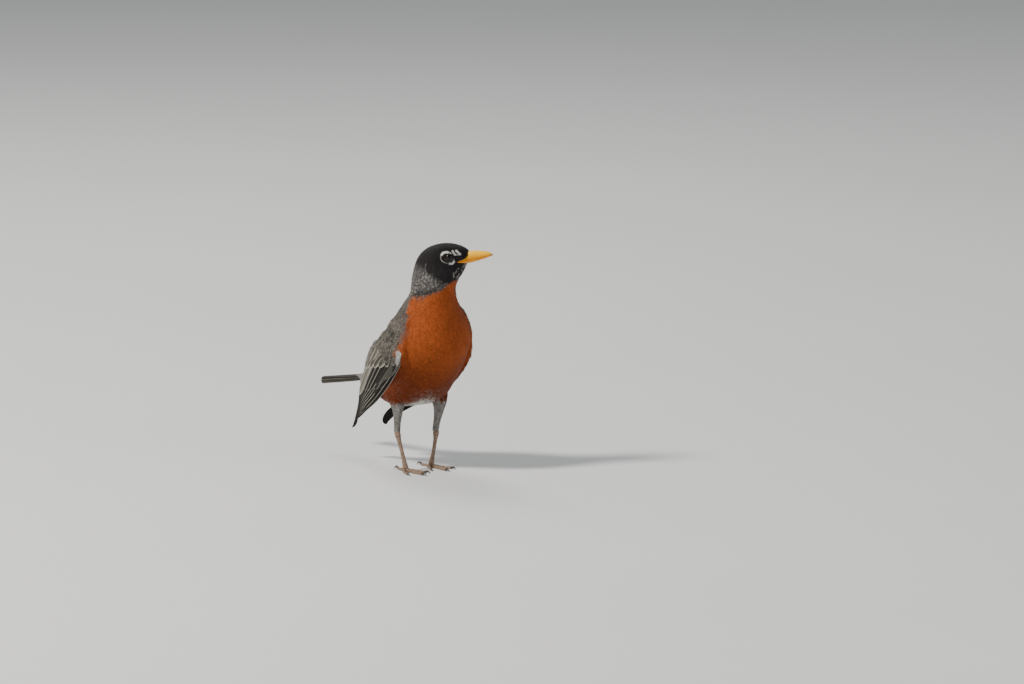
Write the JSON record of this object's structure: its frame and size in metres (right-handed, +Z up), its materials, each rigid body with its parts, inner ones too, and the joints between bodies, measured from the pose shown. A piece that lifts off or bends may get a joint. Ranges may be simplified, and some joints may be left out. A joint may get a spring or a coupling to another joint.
{
  "type": "american robin",
  "caption": "American robin standing alert on both feet, wings folded beside the tail, head turned to its left; a still, life-size model of the bird.",
  "frame": {"origin": "on the floor under the middle of the bird's bounding box", "axes": "+X forward along the body, +Y to the bird's left, +Z up; the head is turned 45 degrees to the left"},
  "size_m": [0.192, 0.0712, 0.1781],
  "materials": {
    "black_feather": "matte black contour feathers",
    "grey_feather": "matte grey-brown contour feathers",
    "rust_feather": "soft rust-orange contour feathers",
    "pale_feather": "soft white and pale grey feathers",
    "quill_feather": "stiff dark brown feathers with pale edges",
    "bill_horn": "satin yellow horn",
    "eye": "wet gloss, very dark brown",
    "leg_scale": "satin brown scales",
    "claw_horn": "satin dark horn"
  },
  "bodies": {
    "root": {"head": "black_feather", "neck": "grey_feather", "trunk": "rust_feather", "rump": "pale_feather", "bill_upper": "bill_horn", "bill_lower": "bill_horn", "eye_left": "eye", "eye_right": "eye", "tail": "quill_feather", "wing_left_coverts": "quill_feather", "wing_left_secondaries": "quill_feather", "wing_left_primaries": "quill_feather", "thigh_left": "pale_feather", "tarsus_left": "leg_scale", "toe_left_hallux": "leg_scale", "claw_left_hallux": "claw_horn", "toe_left_inner": "leg_scale", "claw_left_inner": "claw_horn", "toe_left_middle": "leg_scale", "claw_left_middle": "claw_horn", "toe_left_outer": "leg_scale", "claw_left_outer": "claw_horn", "wing_right_coverts": "quill_feather", "wing_right_secondaries": "quill_feather", "wing_right_primaries": "quill_feather", "thigh_right": "pale_feather", "tarsus_right": "leg_scale", "toe_right_hallux": "leg_scale", "claw_right_hallux": "claw_horn", "toe_right_inner": "leg_scale", "claw_right_inner": "claw_horn", "toe_right_middle": "leg_scale", "claw_right_middle": "claw_horn", "toe_right_outer": "leg_scale", "claw_right_outer": "claw_horn"}
  },
  "joints": []
}
